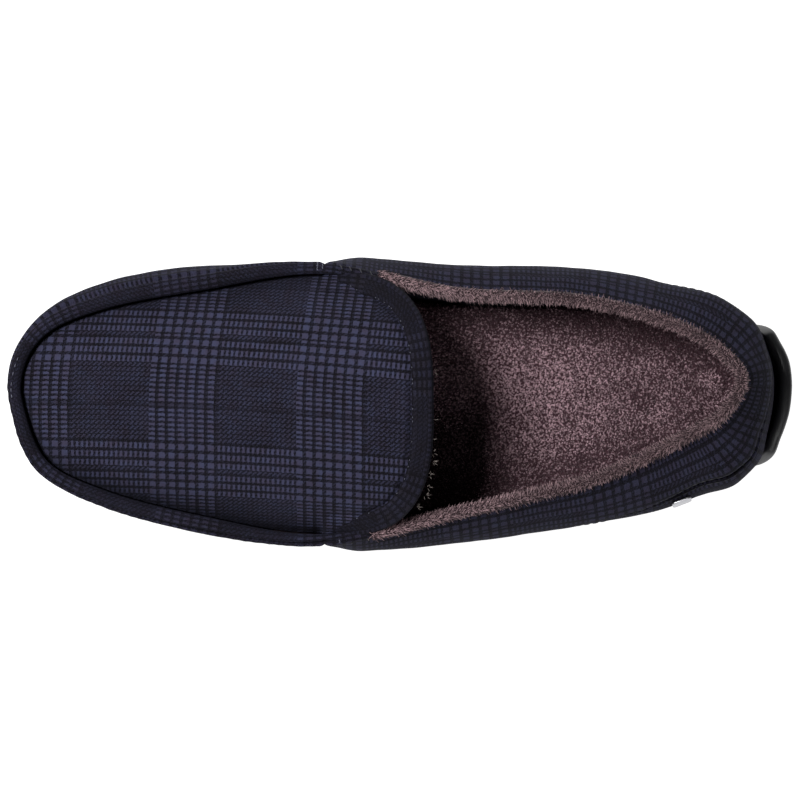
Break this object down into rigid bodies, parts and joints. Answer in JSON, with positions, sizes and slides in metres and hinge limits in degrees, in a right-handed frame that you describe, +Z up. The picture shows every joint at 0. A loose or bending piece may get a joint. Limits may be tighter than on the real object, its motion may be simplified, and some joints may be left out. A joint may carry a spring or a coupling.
{
  "type": "moccasin slipper",
  "caption": "Men's indoor moccasin slipper for the left foot: padded check cloth upper with raised toe seam, plush lining and collar, folded throat binding and moulded rubber sole with heel cup.",
  "frame": {"origin": "centre of the slipper's box on the floor plane it stands on", "axes": "+Z up from the floor, +X from the toe to the heel along the length, +Y towards the medial side"},
  "size_m": [0.2908, 0.1098, 0.0764],
  "materials": {
    "check_cloth": "brushed",
    "binding_cloth": "brushed",
    "plush": "short pile",
    "sole_rubber": "semi-matte",
    "stud_metal": "satin"
  },
  "bodies": {
    "root": {"outsole": "sole_rubber", "insole": "plush", "upper": "check_cloth", "plug": "check_cloth", "throat_binding": "binding_cloth", "plush_collar": "plush", "heel_counter": "check_cloth", "side_stud": "stud_metal"}
  },
  "joints": []
}
